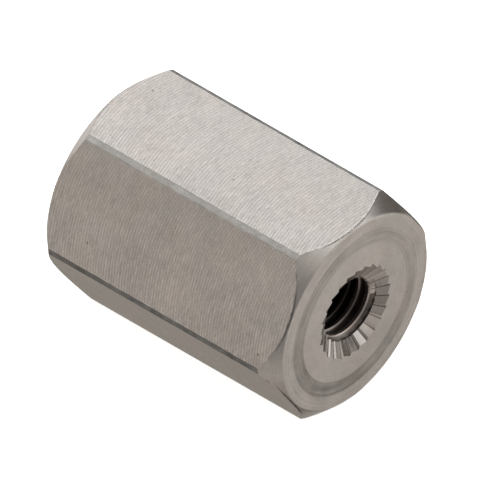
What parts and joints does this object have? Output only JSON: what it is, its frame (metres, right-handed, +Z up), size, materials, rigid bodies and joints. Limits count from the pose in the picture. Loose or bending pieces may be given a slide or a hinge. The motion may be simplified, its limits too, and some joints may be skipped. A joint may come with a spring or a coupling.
{
  "type": "female hex coupling",
  "caption": "Hexagonal stainless coupling: a turned hex bar with chamfered ends and a right-hand thread tapped into each mouth of its bore, which joins two male threads.",
  "frame": {"origin": "middle of the part, on the bore axis, half way between the two end faces", "axes": "+X along the bore out of the front mouth, +Z up out of the upper flat, +Y out of a corner of the hexagon; the part lies on its lower flat"},
  "size_m": [0.0196, 0.016, 0.014],
  "materials": {
    "stainless": "machined, uncoated stainless steel: milled lines on the flats, turned ends"
  },
  "bodies": {
    "root": {"hex_body": "stainless"}
  },
  "joints": []
}
